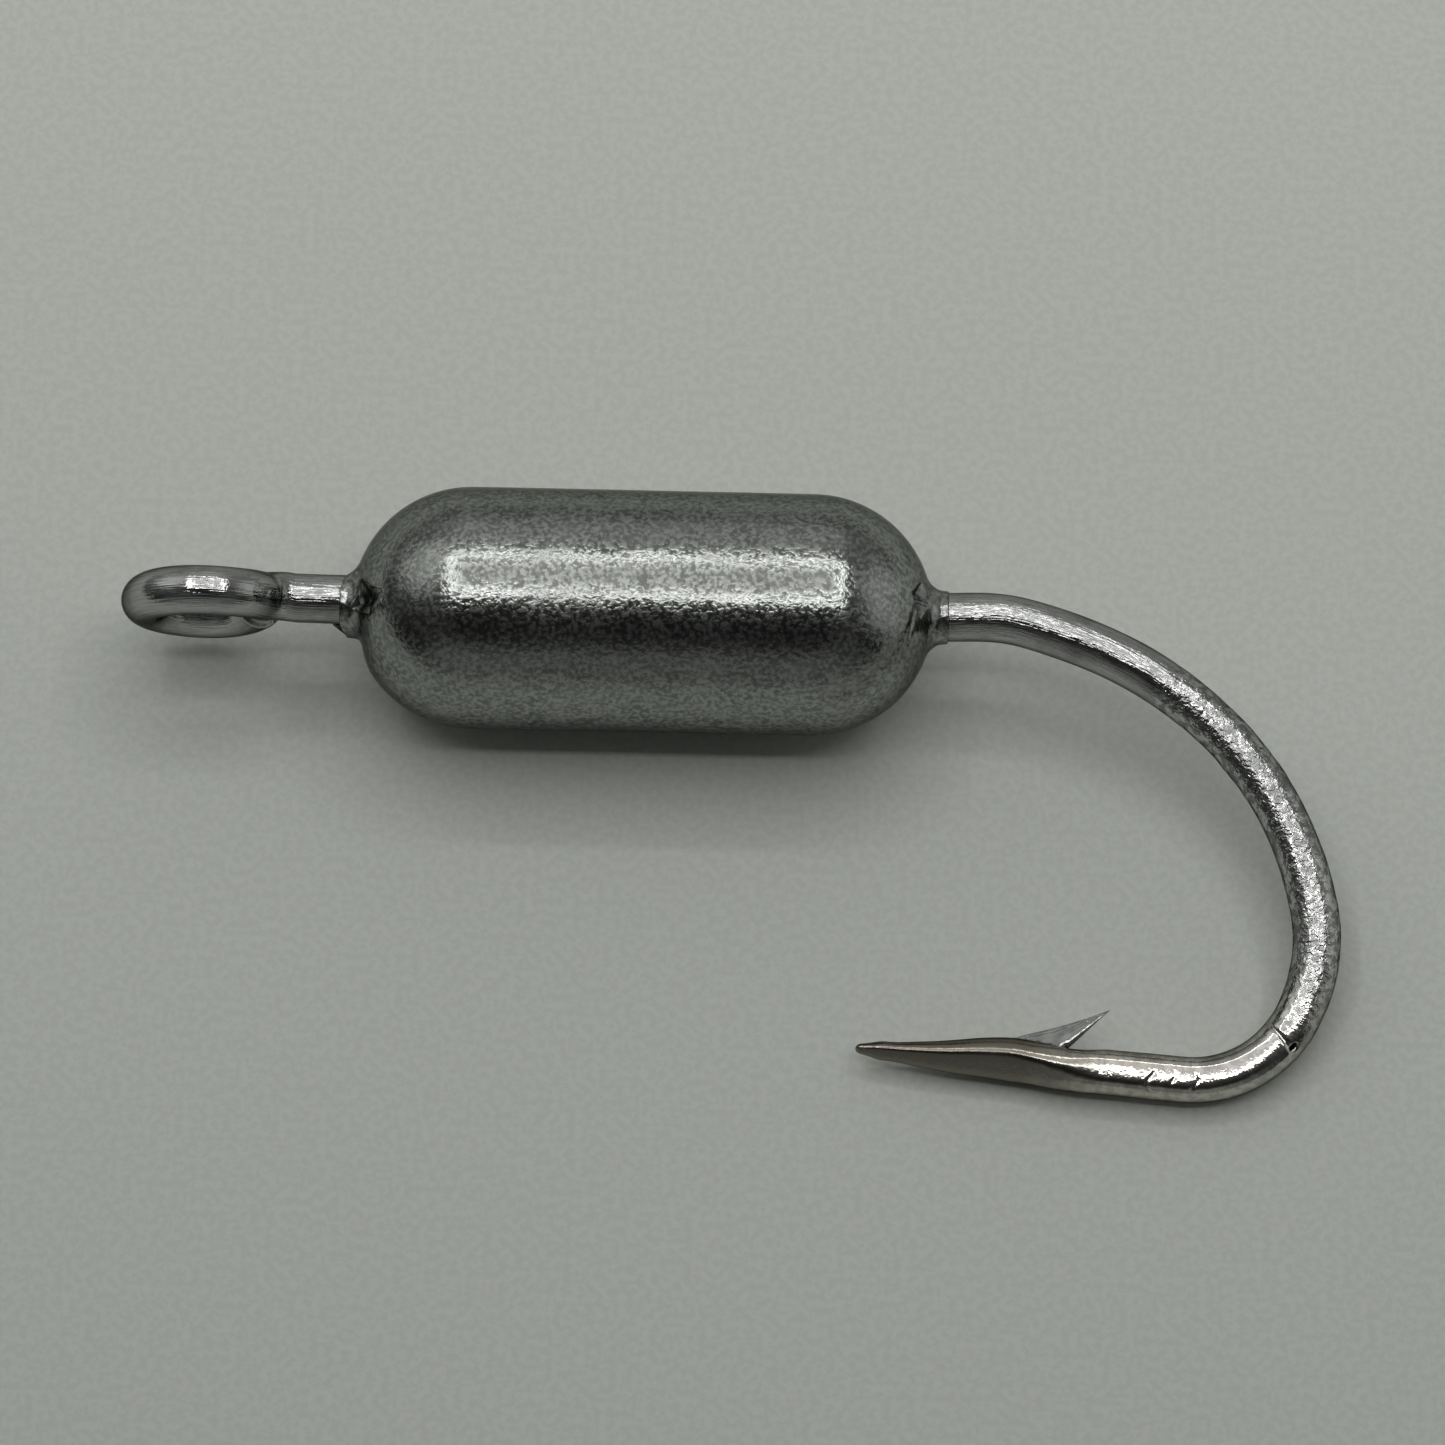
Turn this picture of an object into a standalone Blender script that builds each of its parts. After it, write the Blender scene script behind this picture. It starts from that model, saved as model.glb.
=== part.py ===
"""A jig head: a forged steel hook with a lead weight cast round its shank.

It lies as it does when it is put down. The weight rests on its side and the hook's bend rests on
the same surface, so the plane of the hook slopes a little. +X runs along the shank from the eye to
the bend, the bend opens towards -Y and +Z is up. The origin is on the surface, under the middle of
the weight. Lengths are metres, and angles are degrees until they are used.
"""

from math import acos, asin, atan2, ceil, cos, degrees, pi, radians, sin, sqrt

import bmesh
import bpy
from mathutils import Matrix, Vector

# The weight: a cylinder with a round end on each side, and a fillet of lead where the wire leaves it.
BARREL_DIAMETER = 7.3e-3
BARREL_LENGTH = 17.5e-3
EYE_COLLAR_FILLET = 0.9e-3
BEND_COLLAR_FILLET = 0.65e-3
COLLAR_LIP = 0.12e-3  # how far the lead's thin end stands out from the wire
CAST_GAP = 0.05e-3  # between the wire and the lead's bore

# The wire, and its eye: a ring that stands square to the plane of the bend.
WIRE_DIAMETER = 1.5e-3
EYE_HOLE_DIAMETER = 2.04e-3
EYE_NECK = 1.1e-3  # straight wire between the lead and the eye
EYE_THROAT_RADIUS = 1.2e-3  # where the shank swings out into the ring, on the centre line
EYE_GAP = 0.15e-3  # between the ring's end and the shank

# The bend: arcs from the shank round to the arm, each a radius and a sweep, then the straight arm.
BEND_NECK = 0.2e-3  # straight wire between the lead and the first arc
BEND_ARCS = ((11.6e-3, 44.3), (9.95e-3, 35.4), (5.45e-3, 35.4), (3.55e-3, 69.2))
ARM_LENGTH = 9.78e-3

# The point: a cone with a small round nose.
POINT_LENGTH = 5.1e-3
NOSE_RADIUS = 0.14e-3

# The barb: a sliver raised from the arm on its inner side. Places are distances from the nose.
BARB_START = 4.4e-3
BARB_ROOT = 6.5e-3
BARB_TIP = 7.45e-3
BARB_HEIGHT = 1.05e-3  # of its tip, above the wire
BARB_CUT = 0.12e-3  # how deep its root is cut into the wire
BARB_ROOT_WIDTH = 0.9e-3
BARB_TIP_WIDTH = 0.2e-3

# Facets.
BARREL_SIDES = 48
FULL_TURN_STEPS = 48  # round a whole circle of the weight's outline
BEND_STEP = 5.0  # degrees along the bend
EYE_STEP = 10.0
NOSE_STEPS = 4
WIRE_BEVEL_RESOLUTION = 6  # a wire of 16 sides

barrel_radius = BARREL_DIAMETER / 2
wire_radius = WIRE_DIAMETER / 2
round_end_centre = BARREL_LENGTH / 2 - barrel_radius
# The weight's lowest side is one flat facet, so its axis is a hair lower than its radius.
axis_height = barrel_radius * cos(pi / BARREL_SIDES)


def collar_reach(fillet):
    """How far the lead reaches from the weight's middle, where a fillet runs it out along the wire."""
    from_axis = wire_radius + COLLAR_LIP + fillet
    return round_end_centre + sqrt((barrel_radius + fillet) ** 2 - from_axis**2)


def clear_scene():
    for obj in list(bpy.data.objects):
        bpy.data.objects.remove(obj, do_unlink=True)


def principled(name, colour, roughness, metallic):
    """A material that is one Principled BSDF."""
    material = bpy.data.materials.new(name)
    material.use_nodes = True
    shader = material.node_tree.nodes["Principled BSDF"]
    shader.inputs["Base Color"].default_value = (*colour, 1.0)
    shader.inputs["Roughness"].default_value = roughness
    shader.inputs["Metallic"].default_value = metallic
    return material


def add_object(name, data, material=None):
    obj = bpy.data.objects.new(name, data)
    bpy.context.scene.collection.objects.link(obj)
    if material:
        data.materials.append(material)
    return obj


def mesh_from(bm, name):
    """A mesh with its doubles merged and its faces pointing out."""
    bmesh.ops.remove_doubles(bm, verts=bm.verts, dist=1e-7)
    bmesh.ops.recalc_face_normals(bm, faces=bm.faces)
    mesh = bpy.data.meshes.new(name)
    bm.to_mesh(mesh)
    bm.free()
    return mesh


def arc(centre, radius, start, sweep, step):
    """Points round a centre from an angle, through a sweep, at most a step apart."""
    count = max(1, ceil(abs(sweep) / step))
    angles = (radians(start + sweep * i / count) for i in range(count + 1))
    return [(centre[0] + radius * cos(a), centre[1] + radius * sin(a)) for a in angles]


# ---- the weight ----


def round_end(fillet):
    """One end's outline as (distance along the axis, radius), from the barrel out to the collar."""
    step = 360 / FULL_TURN_STEPS
    fillet_centre = (collar_reach(fillet), wire_radius + COLLAR_LIP + fillet)
    meets = degrees(atan2(fillet_centre[1], fillet_centre[0] - round_end_centre))
    ball = arc((round_end_centre, 0), barrel_radius, 90, meets - 90, step)
    hollow = arc(fillet_centre, fillet, 180 + meets, 90 - meets, 2 * step)
    return ball + hollow[1:]


def make_weight():
    """The outline of both ends and the bore, turned about the shank's axis."""
    bore = wire_radius + CAST_GAP
    bend_end = round_end(BEND_COLLAR_FILLET)
    eye_end = [(-x, r) for x, r in reversed(round_end(EYE_COLLAR_FILLET))]
    outline = eye_end + bend_end + [(bend_end[-1][0], bore), (eye_end[0][0], bore)]
    bm = bmesh.new()
    half_facet = Matrix.Rotation(pi / BARREL_SIDES, 3, "X")
    points = [bm.verts.new(half_facet @ Vector((x, 0, -r))) for x, r in outline]
    edges = [bm.edges.new((a, b)) for a, b in zip(points, points[1:] + points[:1])]
    bmesh.ops.spin(
        bm,
        geom=points + edges,
        cent=(0, 0, 0),
        axis=(1, 0, 0),
        angle=2 * pi,
        steps=BARREL_SIDES,
        use_duplicate=False,
    )
    mesh = mesh_from(bm, "lead_body")
    mesh.shade_smooth()
    mesh.set_sharp_from_angle(angle=radians(40))
    lead = principled("lead", (0.30, 0.31, 0.32), 0.5, 0.75)
    weight = add_object("lead_body", mesh, lead)
    weight.location = (0, 0, axis_height)


# ---- the hook, in its own plane: x along the shank, y away from the bend, z across the plane ----


def eye_path():
    """The ring from its end, under the shank, round to the throat where it joins the shank."""
    ring_radius = EYE_HOLE_DIAMETER / 2 + wire_radius
    throat_x = sqrt(ring_radius**2 + 2 * ring_radius * EYE_THROAT_RADIUS)
    ring_x = -(collar_reach(EYE_COLLAR_FILLET) + EYE_NECK + throat_x)
    joins = degrees(atan2(EYE_THROAT_RADIUS, throat_x))
    # The ring ends where its outer corner is a gap away from the throat's lower side.
    outer = ring_radius + wire_radius
    throat = ring_radius + EYE_THROAT_RADIUS
    clear = EYE_THROAT_RADIUS + wire_radius + EYE_GAP
    opening = degrees(acos((outer**2 + throat**2 - clear**2) / (2 * outer * throat)))
    ring = arc((ring_x, 0), ring_radius, joins - opening, opening - 360, EYE_STEP)
    throat_arc = arc(
        (ring_x + throat_x, EYE_THROAT_RADIUS), EYE_THROAT_RADIUS, 180 + joins, 90 - joins, EYE_STEP
    )
    return [Vector((x, 0, z)) for x, z in ring + throat_arc[1:]]


def bend_path():
    """The centre line from the shank's end round the arcs, and the arm's direction at its end."""
    x, y = collar_reach(BEND_COLLAR_FILLET) + BEND_NECK, 0.0
    heading = 0.0
    path = [Vector((x, y, 0))]
    for radius, sweep in BEND_ARCS:
        turn = radians(heading)
        centre = (x - radius * sin(turn), y - radius * cos(turn))
        points = arc(centre, radius, 90 - heading, -sweep, BEND_STEP)
        path += [Vector((px, py, 0)) for px, py in points[1:]]
        x, y = points[-1]
        heading += sweep
    return path, Vector((cos(radians(heading)), -sin(radians(heading)), 0))


def arm_radius(from_nose):
    """The wire's radius on the arm: a cone at the point, full wire behind it."""
    share = min(from_nose / POINT_LENGTH, 1.0)
    return NOSE_RADIUS + (wire_radius - NOSE_RADIUS) * share


def arm_path(start, direction):
    """The arm's points with their radii: full wire, the cone, and the nose rounded off."""
    stations = [POINT_LENGTH]
    radii = [wire_radius]
    for i in range(NOSE_STEPS):
        angle = pi / 2 * i / NOSE_STEPS
        stations.append(NOSE_RADIUS * (1 - sin(angle)))
        radii.append(NOSE_RADIUS * cos(angle))
    return [(start + direction * (ARM_LENGTH - s), r) for s, r in zip(stations, radii)]


def make_wire(points):
    """The wire's mesh, from a curve with a round bevel whose size follows each point's radius."""
    curve = bpy.data.curves.new("wire", "CURVE")
    curve.dimensions = "3D"
    curve.bevel_depth = wire_radius
    curve.bevel_resolution = WIRE_BEVEL_RESOLUTION
    curve.use_fill_caps = True
    spline = curve.splines.new("POLY")
    spline.points.add(len(points) - 1)
    for point, (place, radius) in zip(spline.points, points):
        point.co = (*place, 1)
        point.radius = radius / wire_radius
    guide = add_object("wire_guide", curve)
    bpy.context.view_layer.update()
    made = bpy.data.meshes.new_from_object(guide.evaluated_get(bpy.context.evaluated_depsgraph_get()))
    bpy.data.objects.remove(guide)
    bm = bmesh.new()
    bm.from_mesh(made)
    return mesh_from(bm, "hook")


def make_barb(nose, direction):
    """The barb as a wedge that starts inside the arm. Its sections are (back from the nose, height, width)."""
    across = Vector((-direction.y, direction.x, 0))
    inner = across if across.y > 0 else -across
    tip_height = wire_radius + BARB_HEIGHT
    slope = (tip_height - arm_radius(BARB_START)) / (BARB_TIP - BARB_START)
    buried = wire_radius / 2
    start = BARB_START - buried
    corners = (
        (start, arm_radius(BARB_START) - slope * buried, BARB_ROOT_WIDTH / 2),
        (BARB_TIP, tip_height, BARB_TIP_WIDTH),
        (BARB_ROOT, wire_radius - BARB_CUT, BARB_ROOT_WIDTH),
        (BARB_ROOT - wire_radius, wire_radius / 4, BARB_ROOT_WIDTH / 2),
    )
    bm = bmesh.new()
    for back, height, width in corners:
        middle = nose - direction * back + inner * height
        for side in (-0.5, 0.5):
            bm.verts.new(middle + Vector((0, 0, side * width)))
    bmesh.ops.convex_hull(bm, input=bm.verts)
    barb = add_object("barb_blank", mesh_from(bm, "barb_blank"))
    barb.hide_render = True
    barb.display_type = "WIRE"
    return barb


def make_hook():
    eye = eye_path()
    bend, direction = bend_path()
    arm = arm_path(bend[-1], direction)
    nose = bend[-1] + direction * ARM_LENGTH
    mesh = make_wire([(place, wire_radius) for place in eye + bend] + arm)
    steel = principled("tinned_steel", (0.62, 0.62, 0.60), 0.25, 1.0)
    hook = add_object("hook", mesh, steel)
    barb = make_barb(nose, direction)
    join = hook.modifiers.new("barb", "BOOLEAN")
    join.operation = "UNION"
    join.object = barb
    mesh.shade_smooth()
    mesh.set_sharp_from_angle(angle=radians(50))
    # The plane slopes down from the weight's axis until the bend rests on the surface.
    bend_depth = -min(place.y for place in bend)
    slope = asin((axis_height - wire_radius) / bend_depth)
    for obj in (hook, barb):
        obj.location = (0, 0, axis_height)
        obj.rotation_euler = (slope, 0, 0)


clear_scene()
make_weight()
make_hook()
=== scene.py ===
"""The looks of a jig head: a lead weight cast round the shank of a tinned steel hook.

Both pieces are fine surfaces that stand for the plain solids of the frame. They are worked out in
millimetres and put into their meshes in metres. The weight is turned about the shank's axis. The
hook is one round section carried along its wire, from the eye's cut end to the point's nose.
"""

import math

import bpy
import numpy as np
from mathutils import Matrix, Vector


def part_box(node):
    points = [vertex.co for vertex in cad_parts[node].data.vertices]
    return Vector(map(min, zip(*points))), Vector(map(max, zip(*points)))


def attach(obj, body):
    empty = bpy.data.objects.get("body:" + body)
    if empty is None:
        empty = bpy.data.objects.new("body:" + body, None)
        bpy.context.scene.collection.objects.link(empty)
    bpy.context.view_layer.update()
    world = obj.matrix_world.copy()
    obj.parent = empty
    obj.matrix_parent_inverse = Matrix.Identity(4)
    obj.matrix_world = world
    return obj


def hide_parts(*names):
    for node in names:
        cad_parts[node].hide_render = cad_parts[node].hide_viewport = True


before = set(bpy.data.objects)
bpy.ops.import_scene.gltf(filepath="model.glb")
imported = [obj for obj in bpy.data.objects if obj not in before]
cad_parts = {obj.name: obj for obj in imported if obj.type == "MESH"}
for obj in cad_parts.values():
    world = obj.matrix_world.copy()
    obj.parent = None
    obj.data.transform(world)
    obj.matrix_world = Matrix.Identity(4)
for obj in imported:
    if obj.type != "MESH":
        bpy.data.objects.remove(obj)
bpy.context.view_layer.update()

MM = 0.001

# ---- sizes, in millimetres ----

low, high = (np.array(corner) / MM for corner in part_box("lead_body"))
AXIS_HEIGHT = float(low[2] + high[2]) / 2
BARREL_RADIUS = 3.65
BARREL_LENGTH = 17.5
EYE_COLLAR_FILLET = 0.9
BEND_COLLAR_FILLET = 0.65
COLLAR_LIP = 0.05
BORE_GAP = 0.01
WIRE_RADIUS = 0.75
EYE_RING_RADIUS = 1.77
EYE_NECK = 1.1
EYE_THROAT_RADIUS = 1.2
EYE_OPENING = 40.5  # degrees of the ring, from the throat to the wire's cut end
BEND_NECK = 0.2
BEND_ARCS = ((11.6, 44.3), (9.95, 35.4), (5.45, 35.4), (3.55, 69.2))  # radius, degrees
ARM_LENGTH = 9.78
POINT_LENGTH = 5.1
NOSE_RADIUS = 0.14
BARB_START = 3.9  # this and the next two lie back from the nose
BARB_ROOT = 6.3
BARB_TIP = 7.45
BARB_HEIGHT = 1.05

ROUND_END = BARREL_LENGTH / 2 - BARREL_RADIUS
LEAD_ROWS = 250
LEAD_COLUMNS = 300
WIRE_STEP = 0.07
WIRE_COLUMNS = 96
PIT_BACK, PIT_ANGLE = 13.10, 0.85  # millimetres back from the nose, radians from the bend's outside


# ---- tools for surfaces ----


def smooth(value, start, end):
    """0 before start, 1 after end, and a smooth rise between them."""
    share = np.clip((value - start) / (end - start), 0, 1)
    return share * share * (3 - 2 * share)


def hump(value, centre, width):
    """A bell, 1 at its centre, that falls to a third a width away."""
    return np.exp(-(((value - centre) / width) ** 2))


def solid_noise(points, cell, seed):
    """Noise from -1 to 1: random values on a cubic lattice, blended smoothly inside each cell."""
    size = 32
    table = np.random.default_rng(seed).uniform(-1, 1, (size, size, size))
    scaled = points / cell
    base = np.floor(scaled).astype(int)
    part = scaled - base
    part = part * part * (3 - 2 * part)
    total = np.zeros(points.shape[:-1])
    for corner in np.ndindex(2, 2, 2):
        index = (base + corner) % size
        share = np.where(corner, part, 1 - part).prod(axis=-1)
        total += share * table[index[..., 0], index[..., 1], index[..., 2]]
    return total


def arc_points(centre, radius, start, sweep, count):
    """Points round a centre, from a start angle through a sweep, both in degrees."""
    angle = np.radians(np.linspace(start, start + sweep, count))
    return np.stack([centre[0] + radius * np.cos(angle), centre[1] + radius * np.sin(angle)], axis=-1)


def lengths_along(points):
    """The distance from a line's first point to each of its points, along the line."""
    steps = np.linalg.norm(np.diff(points, axis=0), axis=1)
    return np.concatenate([[0], np.cumsum(steps)])


def point_at(points, lengths, stations):
    """The points at these distances along a line of points."""
    return np.stack([np.interp(stations, lengths, points[:, k]) for k in range(points.shape[1])], axis=-1)


def grid_piece(name, points, uv, rows_wrap):
    """A closed surface from rows of points whose columns wrap round.

    Each face joins two neighbours in a row to the same two in the next row. Where the rows don't
    wrap, a fan of triangles round the middle of the first and last row closes the ends. uv holds
    one more column than the points, so the seam's two sides keep their own values.
    """
    rows, columns = points.shape[:2]
    row = np.arange(rows if rows_wrap else rows - 1)[:, None]
    column = np.arange(columns)[None, :]
    after = (row + 1) % rows
    beside = (column + 1) % columns
    quads = np.stack(
        [row * columns + column, row * columns + beside, after * columns + beside, after * columns + column],
        axis=-1,
    ).reshape(-1, 4)
    quad_uv = np.stack(
        [uv[row, column], uv[row, column + 1], uv[after, column + 1], uv[after, column]], axis=2
    ).reshape(-1, 2)
    vertices = points.reshape(-1, 3)
    faces = quads.tolist()
    face_uv = [quad_uv]
    if not rows_wrap:
        ends = np.arange(columns)
        turned = (ends + 1) % columns
        last = (rows - 1) * columns
        count = len(vertices)
        middles = np.stack([points[0].mean(axis=0), points[-1].mean(axis=0)])
        vertices = np.concatenate([vertices, middles])
        first_fan = np.stack([turned, ends, np.full(columns, count)], axis=-1)
        last_fan = np.stack([last + ends, last + turned, np.full(columns, count + 1)], axis=-1)
        faces += first_fan.tolist() + last_fan.tolist()
        face_uv += [np.stack([uv[0, ends + 1], uv[0, ends], uv[0, ends]], axis=1).reshape(-1, 2)]
        face_uv += [np.stack([uv[-1, ends], uv[-1, ends + 1], uv[-1, ends]], axis=1).reshape(-1, 2)]
    mesh = bpy.data.meshes.new(name)
    mesh.from_pydata((vertices * MM).tolist(), [], faces)
    layer = mesh.uv_layers.new(name="wire_map")
    layer.data.foreach_set("uv", np.concatenate(face_uv).astype(np.float32).ravel())
    # The corners of each face, taken about the origin, give the volume. A shell that is inside
    # out has less than none.
    triangles = vertices[quads[:, [0, 1, 2]]]
    others = vertices[quads[:, [0, 2, 3]]]
    if np.linalg.det(triangles).sum() + np.linalg.det(others).sum() < 0:
        mesh.flip_normals()
    mesh.shade_smooth()
    piece = bpy.data.objects.new(name, mesh)
    bpy.context.scene.collection.objects.link(piece)
    return piece


# ---- the weight ----


def collar_reach(fillet):
    """How far the lead reaches from its middle, where a fillet runs it out along the wire."""
    from_axis = WIRE_RADIUS + COLLAR_LIP + fillet
    return ROUND_END + np.sqrt((BARREL_RADIUS + fillet) ** 2 - from_axis**2)


def round_end(fillet):
    """One end's outline: a quarter ball, then the hollow of the collar.

    Each place is a distance along the axis and a radius.
    """
    centre = (collar_reach(fillet), WIRE_RADIUS + COLLAR_LIP + fillet)
    meets = np.degrees(np.arctan2(centre[1], centre[0] - ROUND_END))
    ball = arc_points((ROUND_END, 0), BARREL_RADIUS, 90, meets - 90, 120)
    hollow = arc_points(centre, fillet, 180 + meets, 90 - meets, 60)
    lip = np.array([[centre[0] + 0.03, WIRE_RADIUS + BORE_GAP + 0.01]])
    return np.concatenate([ball, hollow[1:], lip])


def lead_outline():
    """The outline from the eye's collar to the bend's, then two rows inside the bore."""
    bend_end = round_end(BEND_COLLAR_FILLET)
    eye_end = round_end(EYE_COLLAR_FILLET)[::-1] * (-1, 1)
    outer = np.concatenate([eye_end, bend_end])
    lengths = lengths_along(outer)
    # Rows lie closer together near the ends, where the dents are.
    share = np.linspace(0, 1, LEAD_ROWS)
    share = (
        share
        - 0.06 * np.sin(4 * np.pi * share) / (4 * np.pi)
        - 0.55 * np.sin(2 * np.pi * share) / (2 * np.pi)
    )
    rows = point_at(outer, lengths, share * lengths[-1])
    bore = WIRE_RADIUS + BORE_GAP
    inside = np.array([[bend_end[-1, 0] - 0.02, bore], [eye_end[0, 0] + 0.02, bore]])
    return np.concatenate([rows, inside])


def notch(along, across, slant, length, above, below, depth):
    """A cut with two flat sides that meet in a valley: deepest in the middle, nothing past its outline."""
    turn = np.radians(slant)
    with_valley = along * np.cos(turn) + across * np.sin(turn)
    off_valley = across * np.cos(turn) - along * np.sin(turn)
    side = np.where(off_valley > 0, off_valley / above, -off_valley / below)
    return depth * np.clip(1 - np.abs(with_valley) / length - side, 0, 1)


def groove(along, across, start, end, width, depth):
    """A fine furrow that follows a straight line between two places and fades at both."""
    start, end = np.array(start), np.array(end)
    line = end - start
    offset = np.stack([along - start[0], across - start[1]], axis=-1)
    share = np.clip(offset @ line / (line @ line), 0, 1)
    gap = np.linalg.norm(offset - share[..., None] * line, axis=-1)
    return depth * hump(gap, 0, width) * np.sin(np.pi * np.clip(share, 0.04, 0.96)) ** 0.5


def lead_dents(x, radius, turn):
    """How deep the marks of handling go.

    A place is a distance along the axis and an angle from the top to the front.
    """

    def place(centre_x, degrees_to_front):
        away = np.radians(degrees_to_front) - turn
        across = np.where(np.cos(away) > 0, radius * np.sin(away), 99)
        return x - centre_x, across

    depth = notch(*place(-8.30, 18), slant=18, length=0.66, above=0.62, below=0.50, depth=0.24)
    depth += notch(*place(8.34, 4), slant=88, length=0.64, above=0.28, below=0.28, depth=0.38)
    depth += groove(*place(8.0, 30), start=(0.17, 0.55), end=(-0.16, -0.95), width=0.05, depth=0.035)
    along, across = place(5.6, -17)
    depth += 0.05 * hump(np.hypot(along, across), 0, 0.11)
    return depth


def make_weight():
    """The outline turned about the axis, roughened as a casting is, and dented.

    A point is at its outline's place x and at radius r, turned by an angle from the top to the
    front. It moves in, along the outline's normal, by the dents and by three sizes of noise. Lead
    is filled out at the eye's collar, broadly in front and a little more just below the front.
    """
    outline = lead_outline()
    around = np.linspace(0, 2 * np.pi, LEAD_COLUMNS, endpoint=False) - np.pi / 2
    forward = np.roll(outline, -1, axis=0) - np.roll(outline, 1, axis=0)
    normal = np.stack([-forward[:, 1], forward[:, 0]], axis=-1)
    normal /= np.linalg.norm(normal, axis=1, keepdims=True)
    x, turn = np.meshgrid(outline[:, 0], around, indexing="ij")
    radius = np.broadcast_to(outline[:, 1:2], x.shape)
    plain = np.stack([x, -radius * np.sin(turn), radius * np.cos(turn)], axis=-1)
    rough = (
        0.012 * solid_noise(plain, 2.6, 11)
        + 0.0022 * solid_noise(plain, 0.60, 12)
        + 0.0007 * solid_noise(plain, 0.22, 13)
    )
    outside = smooth(radius, WIRE_RADIUS + BORE_GAP + 0.02, WIRE_RADIUS + COLLAR_LIP + 0.05)
    inward = outside * (lead_dents(x, radius, turn) + 0.02 + rough)
    inward = np.minimum(inward, 0.8 * (radius - WIRE_RADIUS))
    short_fill = hump(turn, np.radians(113), 0.45) * smooth(-x, 8.2, 9.2)
    front_fill = smooth(np.cos(turn - np.radians(60)), -0.2, 0.5) * smooth(-x, 8.0, 9.3)
    moved_x = x - inward * normal[:, 0:1] + 0.28 * front_fill + 0.22 * short_fill
    moved_radius = radius - inward * normal[:, 1:2] + 0.20 * short_fill
    points = np.stack(
        [moved_x, -moved_radius * np.sin(turn), AXIS_HEIGHT + moved_radius * np.cos(turn)], axis=-1
    )
    lengths = lengths_along(outline)
    uv = np.stack(
        np.meshgrid(lengths, np.linspace(0, 2 * np.pi, LEAD_COLUMNS + 1) * BARREL_RADIUS, indexing="ij"),
        axis=-1,
    )
    weight = grid_piece("weight", points, uv, rows_wrap=True)
    # Painted shade: the dents, and the crease where the eye's collar meets the wire in front, are marked to
    # be drawn darker.
    shade_attribute = weight.data.attributes.new("dent_and_crease_shade", "FLOAT", "POINT")
    painted_shade_amount = lead_dents(x, radius, turn) / 0.25 + 1.5 * short_fill * smooth(-radius, -1.0, -0.85)
    shade_attribute.data.foreach_set("value", np.clip(painted_shade_amount, 0, 1).astype(np.float32).ravel())
    return weight


# ---- the hook, in its own plane: x along the shank, y away from the bend, z across the plane ----


def eye_line():
    """The ring from the wire's cut end, under the shank, round to the throat and the shank."""
    throat = EYE_RING_RADIUS + EYE_THROAT_RADIUS
    throat_x = np.sqrt(throat**2 - EYE_THROAT_RADIUS**2)
    ring_x = -(collar_reach(EYE_COLLAR_FILLET) + EYE_NECK + throat_x)
    joins = np.degrees(np.arctan2(EYE_THROAT_RADIUS, throat_x))
    ring = arc_points((ring_x, 0), EYE_RING_RADIUS, joins - EYE_OPENING, EYE_OPENING - 360, 400)
    swing = arc_points(
        (ring_x + throat_x, EYE_THROAT_RADIUS), EYE_THROAT_RADIUS, 180 + joins, 90 - joins, 40
    )
    flat = np.concatenate([ring, swing[1:]])
    bowed = 0.20 * hump(flat[:, 0], swing[-1, 0] - 0.35, 0.85)
    return np.stack([flat[:, 0], bowed, flat[:, 1]], axis=-1)


def bend_line():
    """The centre line round the arcs and along the arm to the nose, and the arm's direction."""
    place = np.array([collar_reach(BEND_COLLAR_FILLET) + BEND_NECK, 0.0])
    heading = 0.0
    pieces = [place[None]]
    for radius, sweep in BEND_ARCS:
        turn = np.radians(heading)
        centre = place - radius * np.array([np.sin(turn), np.cos(turn)])
        piece = arc_points(centre, radius, 90 - heading, -sweep, 200)
        pieces.append(piece[1:])
        place = piece[-1]
        heading += sweep
    turn = np.radians(heading)
    direction = np.array([np.cos(turn), -np.sin(turn)])
    pieces.append(place + direction * np.linspace(0.02, ARM_LENGTH, 400)[:, None])
    flat = np.concatenate(pieces)
    risen = 0.10 * hump(flat[:, 0], 11.0, 1.3) + 0.10 * smooth(-flat[:, 1], 8, 12.5)
    tucked = 0.05 * smooth(flat[:, 0], 14, 20)
    line = np.stack([flat[:, 0] - tucked, flat[:, 1] + risen, np.zeros(len(flat))], axis=-1)
    return line, np.array([*direction, 0.0])


EYE_LINE = eye_line()
BEND_LINE, ARM_DIRECTION = bend_line()
WIRE_LINE = np.concatenate([EYE_LINE, BEND_LINE])
WIRE_LENGTHS = lengths_along(WIRE_LINE)
WIRE_LENGTH = WIRE_LENGTHS[-1]
SHANK_START = lengths_along(EYE_LINE)[-1]
BEND_START = WIRE_LENGTH - lengths_along(BEND_LINE)[-1]
SLOPE = np.arcsin((AXIS_HEIGHT - WIRE_RADIUS) / -WIRE_LINE[:, 1].min())


def out_of_plane(points):
    """The hook's own plane turned by its slope about the shank and lifted to the weight's axis."""
    turned = np.array([[1, 0, 0], [0, np.cos(SLOPE), np.sin(SLOPE)], [0, -np.sin(SLOPE), np.cos(SLOPE)]])
    return points @ turned + (0, 0, AXIS_HEIGHT)


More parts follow.
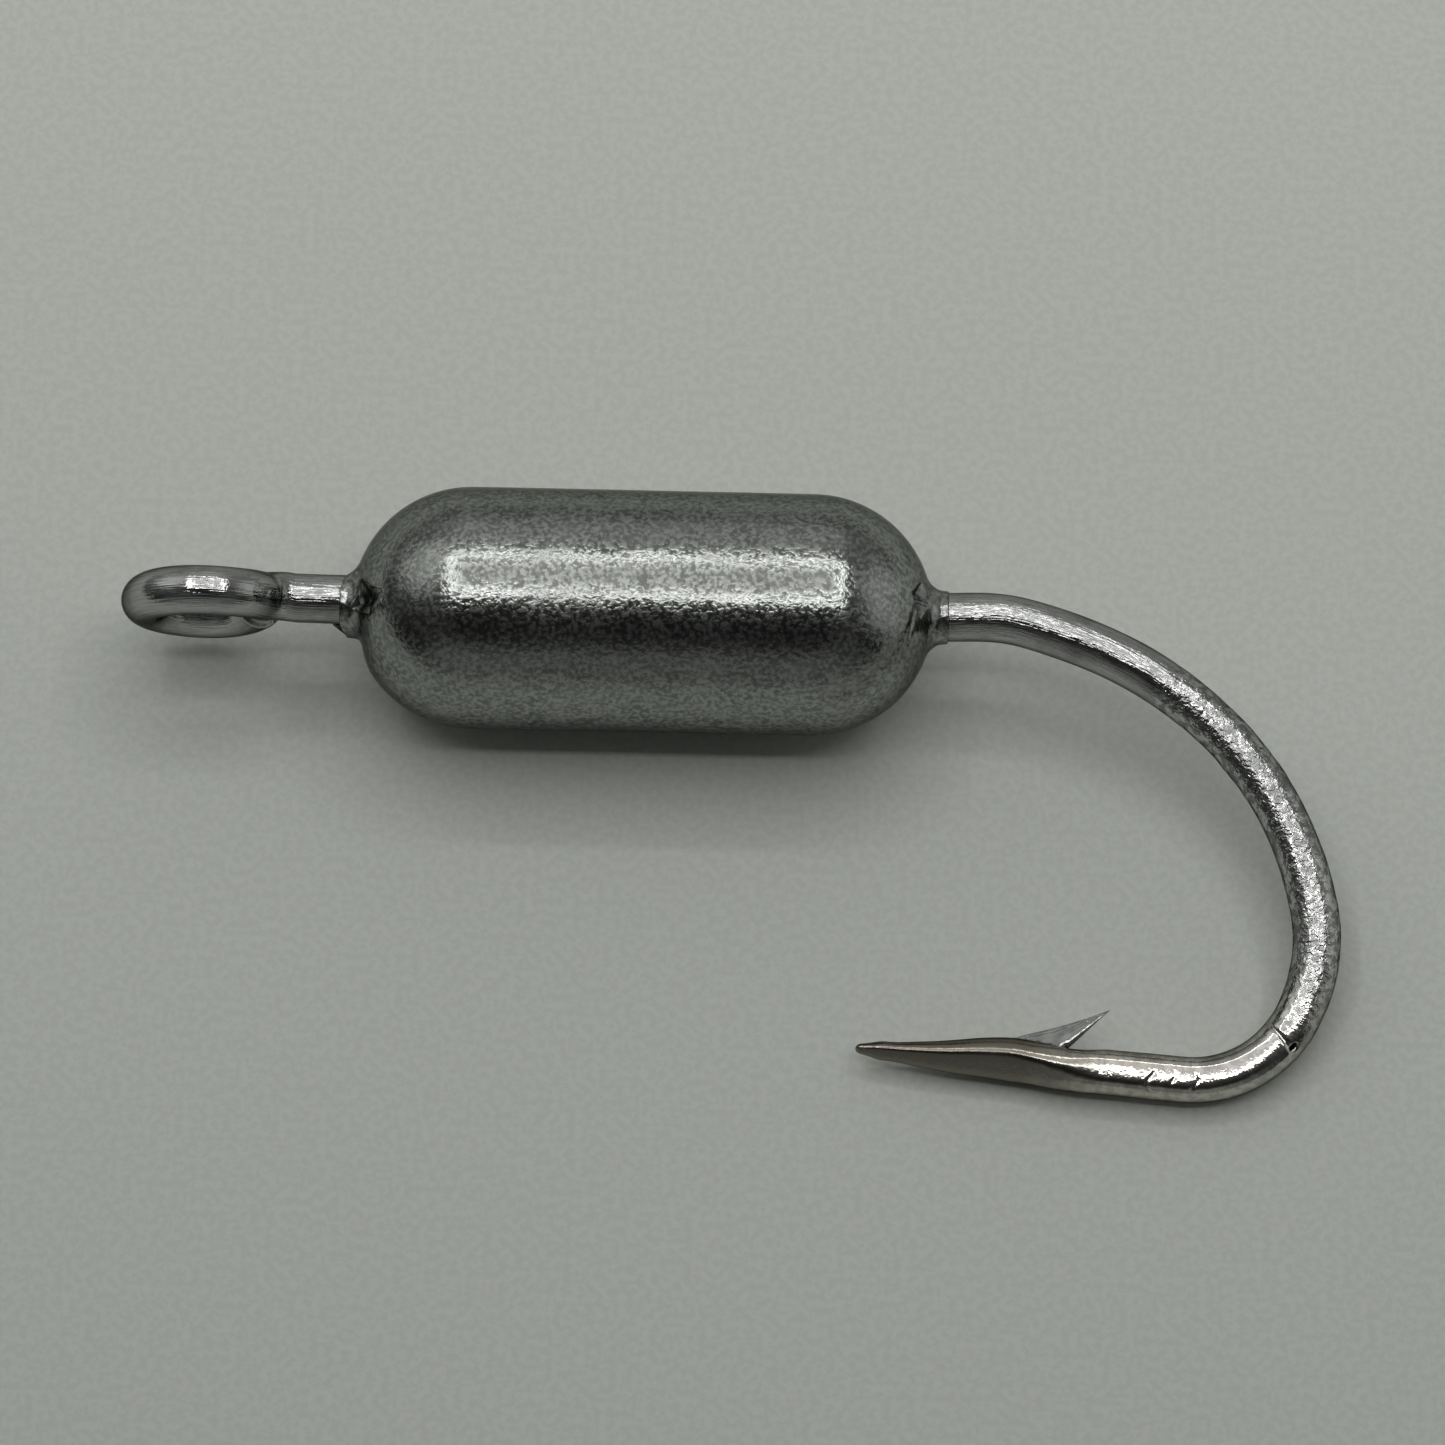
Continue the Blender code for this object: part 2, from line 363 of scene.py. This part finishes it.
def wire_radius(station):
    """The plain radius: drawn wire, swollen just past the weight, then the cone and round nose."""
    past_weight = station - BEND_START
    swell = 1 + 0.02 * (past_weight > -2) + 0.07 * hump(past_weight, 1.2, 2.2)
    thin = 1 - 0.05 * smooth(past_weight, 3, 9) - 0.03 * smooth(past_weight, 17, 22)
    to_nose = WIRE_LENGTH - station
    taper = np.clip(to_nose / POINT_LENGTH, 0, 1) ** 0.85
    cone = NOSE_RADIUS - 0.02 + (WIRE_RADIUS - NOSE_RADIUS + 0.02) * taper
    cone = cone + 0.045 * hump(to_nose, 0.75, 0.3)
    shoulder = 0.04 * hump(to_nose, POINT_LENGTH, 0.9)
    stub = 0.08 * hump(station, SHANK_START - 0.2, 1.1)
    radius = np.minimum(WIRE_RADIUS * swell * thin + stub, cone) - shoulder
    nose = np.sqrt(np.clip(1 - (1 - np.clip(to_nose / NOSE_RADIUS, 0, 1)) ** 2, 0, 1))
    cut_end = 1 - 0.22 * (1 - smooth(station, 0, 0.16))
    return radius * np.maximum(nose, 0.02) * cut_end


def cut_flat(angle, facing, reach, power):
    """The section's shape as a share of its radius, where a flat faces one way at a share of the radius.

    The flat and the round are blended by a power mean: the higher the power, the crisper the edge.
    """
    return (1 + (np.clip(np.cos(angle - facing), 0, None) / reach) ** power) ** (-1 / power)


def pressed(station, angle):
    """The section's shape: flats on both faces of the bend, and one wide slanted flat along the point."""
    past_weight = station - BEND_START
    to_nose = WIRE_LENGTH - station
    face = 1.25 - 0.27 * smooth(past_weight, 4, 9) - 0.08 * smooth(past_weight, 18, 23)
    face = face + 0.35 * smooth(-to_nose, -7.4, -5.0)
    lean = 0.030 * smooth(past_weight, 19, 22)
    point = 0.70 + 0.6 * smooth(to_nose, 4.4, 8.2)
    shape = cut_flat(angle, np.pi / 2 - lean, face, 24) * cut_flat(angle, -np.pi / 2, face, 24)
    return shape * cut_flat(angle, np.radians(47), point, 9)


def wire_marks(station, angle):
    """How deep the tool marks go: a nick and its pit at the bend, cracks in the plating, the barb's cut."""
    top = np.cos(angle - np.pi / 2)
    to_nose = WIRE_LENGTH - station
    skew = 0.10 * np.cos(angle)
    depth = 0.05 * hump(to_nose + skew, 13.06, 0.06) * smooth(top, 0.0, 0.5)
    pit = np.hypot(to_nose - PIT_BACK, WIRE_RADIUS * (angle - PIT_ANGLE))
    depth += 0.22 * smooth(-pit, -0.15, -0.05)
    for crack, deep, reach in ((8.80, 0.05, 1.15), (10.09, 0.04, 1.05), (9.45, 0.02, 1.4)):
        wander = 0.10 * np.sin(5 * angle + crack)
        furrow = deep * hump(to_nose + wander, crack, 0.035)
        depth += furrow * smooth(top, 0.2, 0.5) * hump(angle, reach, 0.5)
    root = WIRE_LENGTH - BARB_ROOT
    behind = root - station
    inner = hump(angle, np.pi, 0.6)
    depth += 0.14 * inner * smooth(behind, -0.12, 0.02) * (1 - smooth(behind, 0.1, 1.3))
    return depth


def make_wire():
    """The round section carried along the wire.

    At each station the section's axes are the way out of the bend and the way across its plane. A
    point is on them at the section's radius, less the marks, less noise: broad lumps everywhere,
    and small flakes where the wire was bent.
    """
    hidden, shown, fine = SHANK_START + EYE_NECK + 0.8, BEND_START - 1.0, WIRE_LENGTH - 14.0
    station = np.concatenate(
        [
            np.linspace(0, 0.14, 8)[:-1],
            np.arange(0.14, hidden, WIRE_STEP),
            np.arange(hidden, shown, 0.4),
            np.arange(shown, fine, WIRE_STEP),
            np.arange(fine, WIRE_LENGTH - 0.33, 0.042),
            WIRE_LENGTH - 0.3 * np.cos(np.linspace(0, np.pi / 2, 24)),
        ]
    )
    centre = point_at(WIRE_LINE, WIRE_LENGTHS, station)
    ahead = point_at(WIRE_LINE, WIRE_LENGTHS, np.minimum(station + 0.03, WIRE_LENGTH))
    back = point_at(WIRE_LINE, WIRE_LENGTHS, np.maximum(station - 0.03, 0))
    along = ahead - back
    along /= np.linalg.norm(along, axis=1, keepdims=True)
    in_eye = (station < (SHANK_START + BEND_START) / 2)[:, None]
    across = np.where(in_eye, np.cross(along, (0.0, 1.0, 0.0)), (0.0, 0.0, 1.0))
    outward = np.where(in_eye, (0.0, 1.0, 0.0), np.cross(across, along))
    around = np.linspace(-np.pi / 2, 1.5 * np.pi, WIRE_COLUMNS, endpoint=False)
    s, angle = np.meshgrid(station, around, indexing="ij")
    spokes = np.cos(angle)[..., None] * outward[:, None] + np.sin(angle)[..., None] * across[:, None]
    radius = wire_radius(s) * pressed(s, angle)
    plain = centre[:, None] + radius[..., None] * spokes
    bent = smooth(s, BEND_START + 6.4, BEND_START + 6.9)
    full = smooth(radius, 0.1, 0.5)
    calm = 1 - 0.75 * smooth(s, WIRE_LENGTH - 13.5, WIRE_LENGTH - 12.5)
    lumps = 0.010 * solid_noise(plain, 1.3, 21)
    lumps = lumps + (0.002 + 0.006 * bent * calm) * solid_noise(plain, 0.5, 22)
    flakes = calm * (0.007 * solid_noise(plain, 0.26, 23) + 0.004 * solid_noise(plain, 0.14, 24))
    radius = radius - full * (0.012 + lumps + (0.08 + 0.92 * bent) * flakes + wire_marks(s, angle))
    points = out_of_plane(centre[:, None] + radius[..., None] * spokes)
    turned = np.linspace(0, 2 * np.pi, WIRE_COLUMNS + 1) * WIRE_RADIUS
    uv = np.stack(np.meshgrid(station, turned, indexing="ij"), axis=-1)
    return grid_piece("hook_wire", points, uv, rows_wrap=False)


def make_barb():
    """The barb as a blade: a wedge with a thin edge on top, rising from the arm to its tip.

    Its section at a distance back from the nose spans from a floor to a top line. The top rises
    nearly straight, a little steeper at the tip. The floor is buried in the wire up to the root, and
    runs straight up to the tip from there.
    """
    share = np.concatenate([np.linspace(0, 0.6, 60)[:-1], np.linspace(0.6, 1, 60)])
    back = BARB_START + (BARB_TIP - BARB_START) * share
    tip_height = WIRE_RADIUS + BARB_HEIGHT + 0.08
    top = 0.54 + (tip_height - 0.54) * (0.84 * share + 0.16 * share**3)
    to_tip = np.clip((back - BARB_ROOT) / (BARB_TIP - BARB_ROOT), 0, 1)
    floor = 0.10 + 0.50 * smooth(back, BARB_ROOT - 0.6, BARB_ROOT) + (tip_height - 0.60) * to_tip
    floor = np.minimum(floor, top - 0.012)
    width = 0.45 + 0.45 * smooth(share, 0.1, 0.5) - 0.8 * smooth(share, 0.5, 1.05)
    angle = np.linspace(-np.pi / 2, 1.5 * np.pi, 40, endpoint=False)
    rise = np.clip(np.sin(angle), 0, None)
    underside = np.abs(np.cos(angle)) ** 0.8
    wedge = np.where(np.sin(angle) > 0, 1 - rise**1.2 * 0.97, underside)
    across = np.sign(np.cos(angle)) * wedge
    height = np.where(np.sin(angle) > 0, np.sin(angle), 0.25 * np.sin(angle))
    inner = np.array([-ARM_DIRECTION[1], ARM_DIRECTION[0], 0.0])
    inner *= np.sign(inner[1])
    nose = WIRE_LINE[-1]
    tall = (top - floor) / 1.25
    middle = floor + 0.25 * tall
    points = (
        nose
        - ARM_DIRECTION * back[:, None, None]
        + inner * (middle[:, None, None] + tall[:, None, None] * height[None, :, None])
        + np.array([0, 0, 0.5]) * (width[:, None, None] * across[None, :, None])
    )
    uv = np.stack(np.meshgrid(back, np.linspace(0, 1.6, 41), indexing="ij"), axis=-1)
    return grid_piece("barb_blade", out_of_plane(points), uv, rows_wrap=False)


def make_hook():
    """The wire and its barb as one closed surface."""
    wire = make_wire()
    barb = make_barb()
    join = wire.modifiers.new("barb", "BOOLEAN")
    join.operation = "UNION"
    join.object = barb
    bpy.context.view_layer.update()
    whole = bpy.data.meshes.new_from_object(wire.evaluated_get(bpy.context.evaluated_depsgraph_get()))
    wire.modifiers.clear()
    wire.data = whole
    bpy.data.objects.remove(barb)
    return wire


# ---- materials ----


def node(tree, kind, **inputs):
    """A node with values on its inputs, or links where a value is another node's output."""
    made = tree.nodes.new(kind)
    for name, value in inputs.items():
        socket = made.inputs[int(name[1:]) if name[1:].isdigit() else name.replace("_", " ")]
        if isinstance(value, bpy.types.NodeSocket):
            tree.links.new(value, socket)
        else:
            socket.default_value = value
    return made


def math_node(tree, operation, first, second=0.0):
    """The output of one sum, product or difference."""
    made = node(tree, "ShaderNodeMath", i0=first, i1=second)
    made.operation = operation
    return made.outputs[0]


def noise_group():
    """A group that gives noise as a mask: below Low it is 0, above High it is 1."""
    group = bpy.data.node_groups.new("speckle", "ShaderNodeTree")
    sides = (("Vector", "NodeSocketVector", "INPUT"), ("Scale", "NodeSocketFloat", "INPUT"))
    sides += (("Detail", "NodeSocketFloat", "INPUT"), ("Low", "NodeSocketFloat", "INPUT"))
    sides += (("High", "NodeSocketFloat", "INPUT"), ("Mask", "NodeSocketFloat", "OUTPUT"))
    for name, kind, side in sides:
        group.interface.new_socket(name=name, in_out=side, socket_type=kind)
    given = group.nodes.new("NodeGroupInput").outputs
    noise = node(group, "ShaderNodeTexNoise", Vector=given["Vector"], Scale=given["Scale"])
    group.links.new(given["Detail"], noise.inputs["Detail"])
    noise.inputs["Roughness"].default_value = 0.55
    mask = node(
        group,
        "ShaderNodeMapRange",
        Value=noise.outputs["Fac"],
        From_Min=given["Low"],
        From_Max=given["High"],
    )
    mask.interpolation_type = "SMOOTHSTEP"
    out = group.nodes.new("NodeGroupOutput")
    group.links.new(mask.outputs["Result"], out.inputs["Mask"])
    return group


SPECKLE = noise_group()


def speckle(tree, vector, scale, detail=2.0, low=0.35, high=0.65):
    """The speckle group placed in a material with its own values."""
    made = tree.nodes.new("ShaderNodeGroup")
    made.node_tree = SPECKLE
    tree.links.new(vector, made.inputs["Vector"])
    for name, value in (("Scale", scale), ("Detail", detail), ("Low", low), ("High", high)):
        made.inputs[name].default_value = value
    return made.outputs["Mask"]


def blend_colour(tree, mask, first, second):
    """One colour where the mask is 0 and the other where it is 1."""
    made = tree.nodes.new("ShaderNodeMix")
    made.data_type = "RGBA"
    tree.links.new(mask, made.inputs["Factor"])
    for socket, value in ((made.inputs["A"], first), (made.inputs["B"], second)):
        colour_sockets = [s for s in made.inputs if s.name == socket.name and s.type == "RGBA"]
        if isinstance(value, bpy.types.NodeSocket):
            tree.links.new(value, colour_sockets[0])
        else:
            colour_sockets[0].default_value = (*value, 1.0)
    return [s for s in made.outputs if s.type == "RGBA"][0]


def spread(tree, mask, low, high):
    """The mask turned into a number from low to high."""
    made = node(tree, "ShaderNodeMapRange", Value=mask)
    made.inputs["To Min"].default_value = low
    made.inputs["To Max"].default_value = high
    return made.outputs["Result"]


def ramp(tree, value, start, end, high=1.0):
    """A number that runs straight from 0, where the value is at start, to high, where it is at end."""
    made = node(tree, "ShaderNodeMapRange", Value=value)
    made.inputs["From Min"].default_value = start
    made.inputs["From Max"].default_value = end
    made.inputs["To Max"].default_value = high
    return made.outputs["Result"]


def bump(tree, height, distance, strength=1.0, normal=None):
    made = node(tree, "ShaderNodeBump", Height=height, Distance=distance, Strength=strength)
    if normal:
        tree.links.new(normal, made.inputs["Normal"])
    return made.outputs["Normal"]


def new_material(name):
    material = bpy.data.materials.new(name)
    material.use_nodes = True
    tree = material.node_tree
    return material, tree, tree.nodes["Principled BSDF"]


def lead_material():
    """Bare cast lead: a dull grey skin with brighter grains, patchy gloss and a fine tooth, and painted
    shade in the dents and the collar's crease.
    """
    material, tree, shader = new_material("cast_lead")
    place = tree.nodes.new("ShaderNodeTexCoord").outputs["Object"]
    grain = speckle(tree, place, 7000, 2.0, 0.36, 0.66)
    cloud = speckle(tree, place, 1100, 3.0, 0.30, 0.70)
    patch = speckle(tree, place, 260, 2.0, 0.35, 0.65)
    skin = blend_colour(tree, cloud, (0.172, 0.181, 0.169), (0.240, 0.250, 0.236))
    clean = blend_colour(tree, grain, skin, (0.385, 0.398, 0.380))
    # Painted shade: the lead is drawn towards near black in the dents and the collar's crease.
    dent_and_crease_shade = tree.nodes.new("ShaderNodeAttribute")
    dent_and_crease_shade.attribute_name = "dent_and_crease_shade"
    painted_shade_weight = math_node(tree, "MULTIPLY", dent_and_crease_shade.outputs["Fac"], 0.55)
    colour = blend_colour(tree, painted_shade_weight, clean, (0.06, 0.065, 0.06))
    tree.links.new(colour, shader.inputs["Base Color"])
    gloss = math_node(tree, "MULTIPLY", grain, 0.6)
    gloss = math_node(tree, "ADD", gloss, math_node(tree, "MULTIPLY", patch, 0.4))
    tree.links.new(spread(tree, gloss, 0.11, 0.28), shader.inputs["Roughness"])
    shader.inputs["Metallic"].default_value = 1.0
    shader.inputs["Specular Tint"].default_value = (0.40, 0.40, 0.40, 1.0)
    tooth = bump(tree, grain, 0.000007, 0.5)
    tree.links.new(bump(tree, cloud, 0.000010, 0.5, tooth), shader.inputs["Normal"])
    return material


def steel_material():
    """Tinned steel wire: bright, drawn along its length, with flakes and warm stains towards the point. A
    painted highlight brightens the arm's plate; painted shade darkens the pit and the point.
    """
    material, tree, shader = new_material("tinned_wire")
    coords = tree.nodes.new("ShaderNodeTexCoord")
    along = node(tree, "ShaderNodeMapping", Vector=coords.outputs["UV"])
    along.inputs["Scale"].default_value = (0.9, 14.0, 1.0)
    drawn = speckle(tree, along.outputs["Vector"], 1.0, 2.0, 0.30, 0.70)
    flakes = speckle(tree, coords.outputs["Object"], 4300, 2.5, 0.44, 0.56)
    tarnish = speckle(tree, coords.outputs["Object"], 900, 3.0, 0.45, 0.75)
    station = node(tree, "ShaderNodeSeparateXYZ", Vector=coords.outputs["UV"]).outputs[0]
    drawn_on = ramp(tree, station, BEND_START + 7.0, BEND_START + 6.5)
    arm = ramp(tree, station, WIRE_LENGTH - 15.5, WIRE_LENGTH - 13.0)
    tip = ramp(tree, station, WIRE_LENGTH - 7.5, WIRE_LENGTH - 5.0)
    warm = ramp(tree, station, WIRE_LENGTH - 16, WIRE_LENGTH - 7)
    dull = ramp(tree, station, WIRE_LENGTH - 7.5, WIRE_LENGTH - 4.0, 0.13)
    smooth_plate = blend_colour(tree, drawn, (0.40, 0.405, 0.395), (0.52, 0.525, 0.515))
    flaked_plate = blend_colour(tree, flakes, (0.27, 0.275, 0.27), (0.55, 0.55, 0.535))
    # Painted highlight: the arm's plate is a brighter copy of the plating, so that the arm's highlight shows
    # white.
    arm_highlight_plate = blend_colour(tree, flakes, (0.48, 0.475, 0.46), (0.62, 0.615, 0.60))
    plate = blend_colour(tree, drawn_on, flaked_plate, smooth_plate)
    plate = blend_colour(tree, arm, plate, arm_highlight_plate)
    # The point's plate is darker and warmer: partly tarnish, partly painted shade on the point's facet.
    plate = blend_colour(tree, tip, plate, (0.225, 0.216, 0.198))
    stains_and_pit_shade = blend_colour(tree, math_node(tree, "MULTIPLY", tarnish, 0.6), plate, (0.21, 0.208, 0.20))
    # Painted shade: the pit is drawn near black, as the shade inside its hollow.
    on_wire = node(tree, "ShaderNodeVectorMath", i0=coords.outputs["UV"])
    on_wire.operation = "DISTANCE"
    on_wire.inputs[1].default_value = (WIRE_LENGTH - PIT_BACK, WIRE_RADIUS * (PIT_ANGLE + np.pi / 2), 0)
    pit = ramp(tree, on_wire.outputs["Value"], 0.15, 0.09)
    stains_and_pit_shade = blend_colour(tree, pit, stains_and_pit_shade, (0.02, 0.02, 0.02))
    tint = blend_colour(tree, warm, (1.0, 1.0, 1.0), (1.0, 0.95, 0.87))
    mixed = tree.nodes.new("ShaderNodeMix")
    mixed.data_type = "RGBA"
    mixed.blend_type = "MULTIPLY"
    mixed.inputs[0].default_value = 1.0
    tree.links.new(stains_and_pit_shade, mixed.inputs[6])
    tree.links.new(tint, mixed.inputs[7])
    tree.links.new(mixed.outputs[2], shader.inputs["Base Color"])
    not_arm = math_node(tree, "SUBTRACT", 1.0, arm)
    not_drawn = math_node(tree, "SUBTRACT", 1.0, drawn_on)
    worn_part = math_node(tree, "MULTIPLY", not_arm, not_drawn)
    worn = math_node(tree, "MULTIPLY", worn_part, flakes)
    gloss = math_node(tree, "ADD", spread(tree, tarnish, 0.055, 0.13), dull)
    dulled = math_node(tree, "MULTIPLY", worn_part, spread(tree, worn, 0.16, 0.0))
    gloss = math_node(tree, "ADD", gloss, dulled)
    tree.links.new(gloss, shader.inputs["Roughness"])
    shader.inputs["Metallic"].default_value = 1.0
    shader.inputs["Specular Tint"].default_value = (0.16, 0.16, 0.16, 1.0)
    lines = bump(tree, math_node(tree, "MULTIPLY", drawn, drawn_on), 0.000010, 0.6)
    pocks = speckle(tree, coords.outputs["Object"], 6800, 2.0, 0.35, 0.65)
    rough = math_node(tree, "MULTIPLY", pocks, spread(tree, worn_part, 0.12, 1.0))
    tree.links.new(bump(tree, rough, 0.000022, 0.6, lines), shader.inputs["Normal"])
    return material


def table_material():
    """A plain pale table top with a faint tooth, its colour painted darker towards the front as shade."""
    material, tree, shader = new_material("table_top")
    place = tree.nodes.new("ShaderNodeTexCoord").outputs["Object"]
    grain = speckle(tree, place, 4200, 3.0, 0.38, 0.62)
    paint = blend_colour(tree, grain, (0.585, 0.610, 0.562), (0.635, 0.660, 0.612))
    # Painted shade: the table's colour grows darker towards the front.
    depth = node(tree, "ShaderNodeSeparateXYZ", Vector=place).outputs[1]
    away = ramp(tree, depth, -0.060, 0.022)
    front_shaded_paint = blend_colour(tree, grain, (0.352, 0.370, 0.342), (0.385, 0.403, 0.375))
    tree.links.new(blend_colour(tree, away, front_shaded_paint, paint), shader.inputs["Base Color"])
    shader.inputs["Roughness"].default_value = 0.7
    return material


# ---- the stage ----

CAMERA_ELEVATION = 67.0
CAMERA_ROLL = 1.25
CAMERA_DISTANCE = 300.0
FRAME_WIDTH = 43.35  # of the view, at the weight
FRAME_RIGHT = 2.40  # the view's middle, from the weight's middle
FRAME_DOWN = 3.34
LAMP_HEIGHT = 600.0
LAMP_FRONT, LAMP_BACK = 10.2, 29.8  # degrees from straight up, to the front and to the back
LAMP_LEFT, LAMP_RIGHT = 21.5, 27.3
LAMP_RIM = 0.060  # of the lamp's height
LAMP_GLOW = 0.72
RIM_GLOW = 6.5
RIM_DROP = 4.0  # how far the rim hangs below the panel


def make_floor():
    bpy.ops.mesh.primitive_plane_add(size=3.0, location=(0, 0, 0))
    floor = bpy.context.object
    floor.name = "table"
    floor.data.materials.append(table_material())


def make_camera():
    """The camera looks down at the weight's front, with the weight left of and above the middle."""
    elevation = math.radians(CAMERA_ELEVATION)
    roll = math.radians(CAMERA_ROLL)
    ahead = Vector((1, 0, 0))
    upward = Vector((0, math.sin(elevation), math.cos(elevation)))
    outward = Vector((0, -math.cos(elevation), math.sin(elevation)))
    right = math.cos(roll) * ahead + math.sin(roll) * upward
    above = -math.sin(roll) * ahead + math.cos(roll) * upward
    target = Vector((0, 0, AXIS_HEIGHT)) + FRAME_RIGHT * right - FRAME_DOWN * above
    camera = bpy.data.objects.new("camera", bpy.data.cameras.new("camera"))
    camera.data.angle = 2 * math.atan(FRAME_WIDTH / 2 / CAMERA_DISTANCE)
    camera.data.clip_start = 0.001
    turn = Matrix((right, above, outward)).transposed().to_4x4()
    camera.matrix_world = Matrix.Translation((target + CAMERA_DISTANCE * outward) * MM) @ turn
    bpy.context.scene.collection.objects.link(camera)
    bpy.context.scene.camera = camera


def add_lamp(name, left, right, front, back, glow, drop=0.0):
    """A flat lamp overhead, between edges given as shares of its height, of an even glow."""
    width = (right - left) * LAMP_HEIGHT * MM
    depth = (back - front) * LAMP_HEIGHT * MM
    light = bpy.data.lights.new(name, "AREA")
    light.shape = "RECTANGLE"
    light.size = width
    light.size_y = depth
    light.energy = glow * np.pi * width * depth
    lamp = bpy.data.objects.new(name, light)
    middle = Vector(((left + right) / 2, (front + back) / 2, 1))
    lamp.location = (LAMP_HEIGHT * middle - Vector((0, 0, drop))) * MM
    lamp.visible_camera = False
    bpy.context.scene.collection.objects.link(lamp)


def make_lamps():
    """A panel lamp overhead, a little to the back, with a brighter rim."""
    left, right = -np.tan(np.radians(LAMP_LEFT)), np.tan(np.radians(LAMP_RIGHT))
    front, back = -np.tan(np.radians(LAMP_FRONT)), np.tan(np.radians(LAMP_BACK))
    add_lamp("panel", left, right, front, back, LAMP_GLOW)
    add_lamp("rim_front", left, right, front, front + LAMP_RIM, RIM_GLOW, RIM_DROP)
    add_lamp("rim_back", left, right, back - LAMP_RIM, back, RIM_GLOW, RIM_DROP)
    add_lamp("rim_left", left, left + LAMP_RIM, front + LAMP_RIM, back - LAMP_RIM, RIM_GLOW, RIM_DROP)
    add_lamp("rim_right", right - LAMP_RIM, right, front + LAMP_RIM, back - LAMP_RIM, RIM_GLOW, RIM_DROP)


def make_room():
    """A dim room: paler to the sides and the back, and dark high up at the front."""
    world = bpy.data.worlds.new("room")
    world.use_nodes = True
    tree = world.node_tree
    tree.nodes.clear()
    direction = tree.nodes.new("ShaderNodeTexCoord").outputs["Generated"]

    def lobe(towards, inner, outer, glow):
        """A soft round patch of the room: full within inner degrees of a direction, nothing past outer."""
        unit = Vector(towards).normalized()
        facing = node(tree, "ShaderNodeVectorMath", i0=direction, i1=unit)
        facing.operation = "DOT_PRODUCT"
        patch = node(tree, "ShaderNodeMapRange", Value=facing.outputs["Value"])
        patch.interpolation_type = "SMOOTHSTEP"
        patch.inputs["From Min"].default_value = np.cos(np.radians(outer))
        patch.inputs["From Max"].default_value = np.cos(np.radians(inner))
        patch.inputs["To Max"].default_value = glow
        return patch.outputs["Result"]

    total = math_node(tree, "ADD", lobe((0, 1, 0.6), 10, 110, 0.20), lobe((-0.66, 0.34, 0.66), 6, 30, 0.55))
    total = math_node(tree, "ADD", total, lobe((0, 0.76, 0.65), 5, 32, 0.24))
    total = math_node(tree, "ADD", total, lobe((0.95, 0.1, 0.3), 8, 35, 0.40))
    total = math_node(tree, "ADD", total, lobe((0, -1, 0), 12, 54, 0.15))
    total = math_node(tree, "ADD", total, 0.035)
    dark = math_node(tree, "SUBTRACT", 1.0, lobe((0, -0.62, 0.78), 15, 32, 0.6))
    total = math_node(tree, "MULTIPLY", total, dark)
    seen = tree.nodes.new("ShaderNodeLightPath").outputs["Is Camera Ray"]
    room = node(tree, "ShaderNodeBackground", Strength=total)
    room.inputs["Color"].default_value = (0.98, 1.0, 0.97, 1.0)
    backdrop = node(tree, "ShaderNodeBackground", Strength=0.36)
    backdrop.inputs["Color"].default_value = (0.98, 1.0, 0.95, 1.0)
    choose = node(tree, "ShaderNodeMixShader", Fac=seen)
    tree.links.new(room.outputs[0], choose.inputs[1])
    tree.links.new(backdrop.outputs[0], choose.inputs[2])
    out = tree.nodes.new("ShaderNodeOutputWorld")
    tree.links.new(choose.outputs[0], out.inputs["Surface"])
    bpy.context.scene.world = world


def finish_piece(piece, cad_node, material):
    piece.data.materials.clear()
    piece.data.materials.append(material)
    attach(piece, "root")
    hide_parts(cad_node)


finish_piece(make_weight(), "lead_body", lead_material())
finish_piece(make_hook(), "hook", steel_material())
make_floor()
make_camera()
make_lamps()
make_room()
bpy.context.scene.view_settings.view_transform = "Standard"
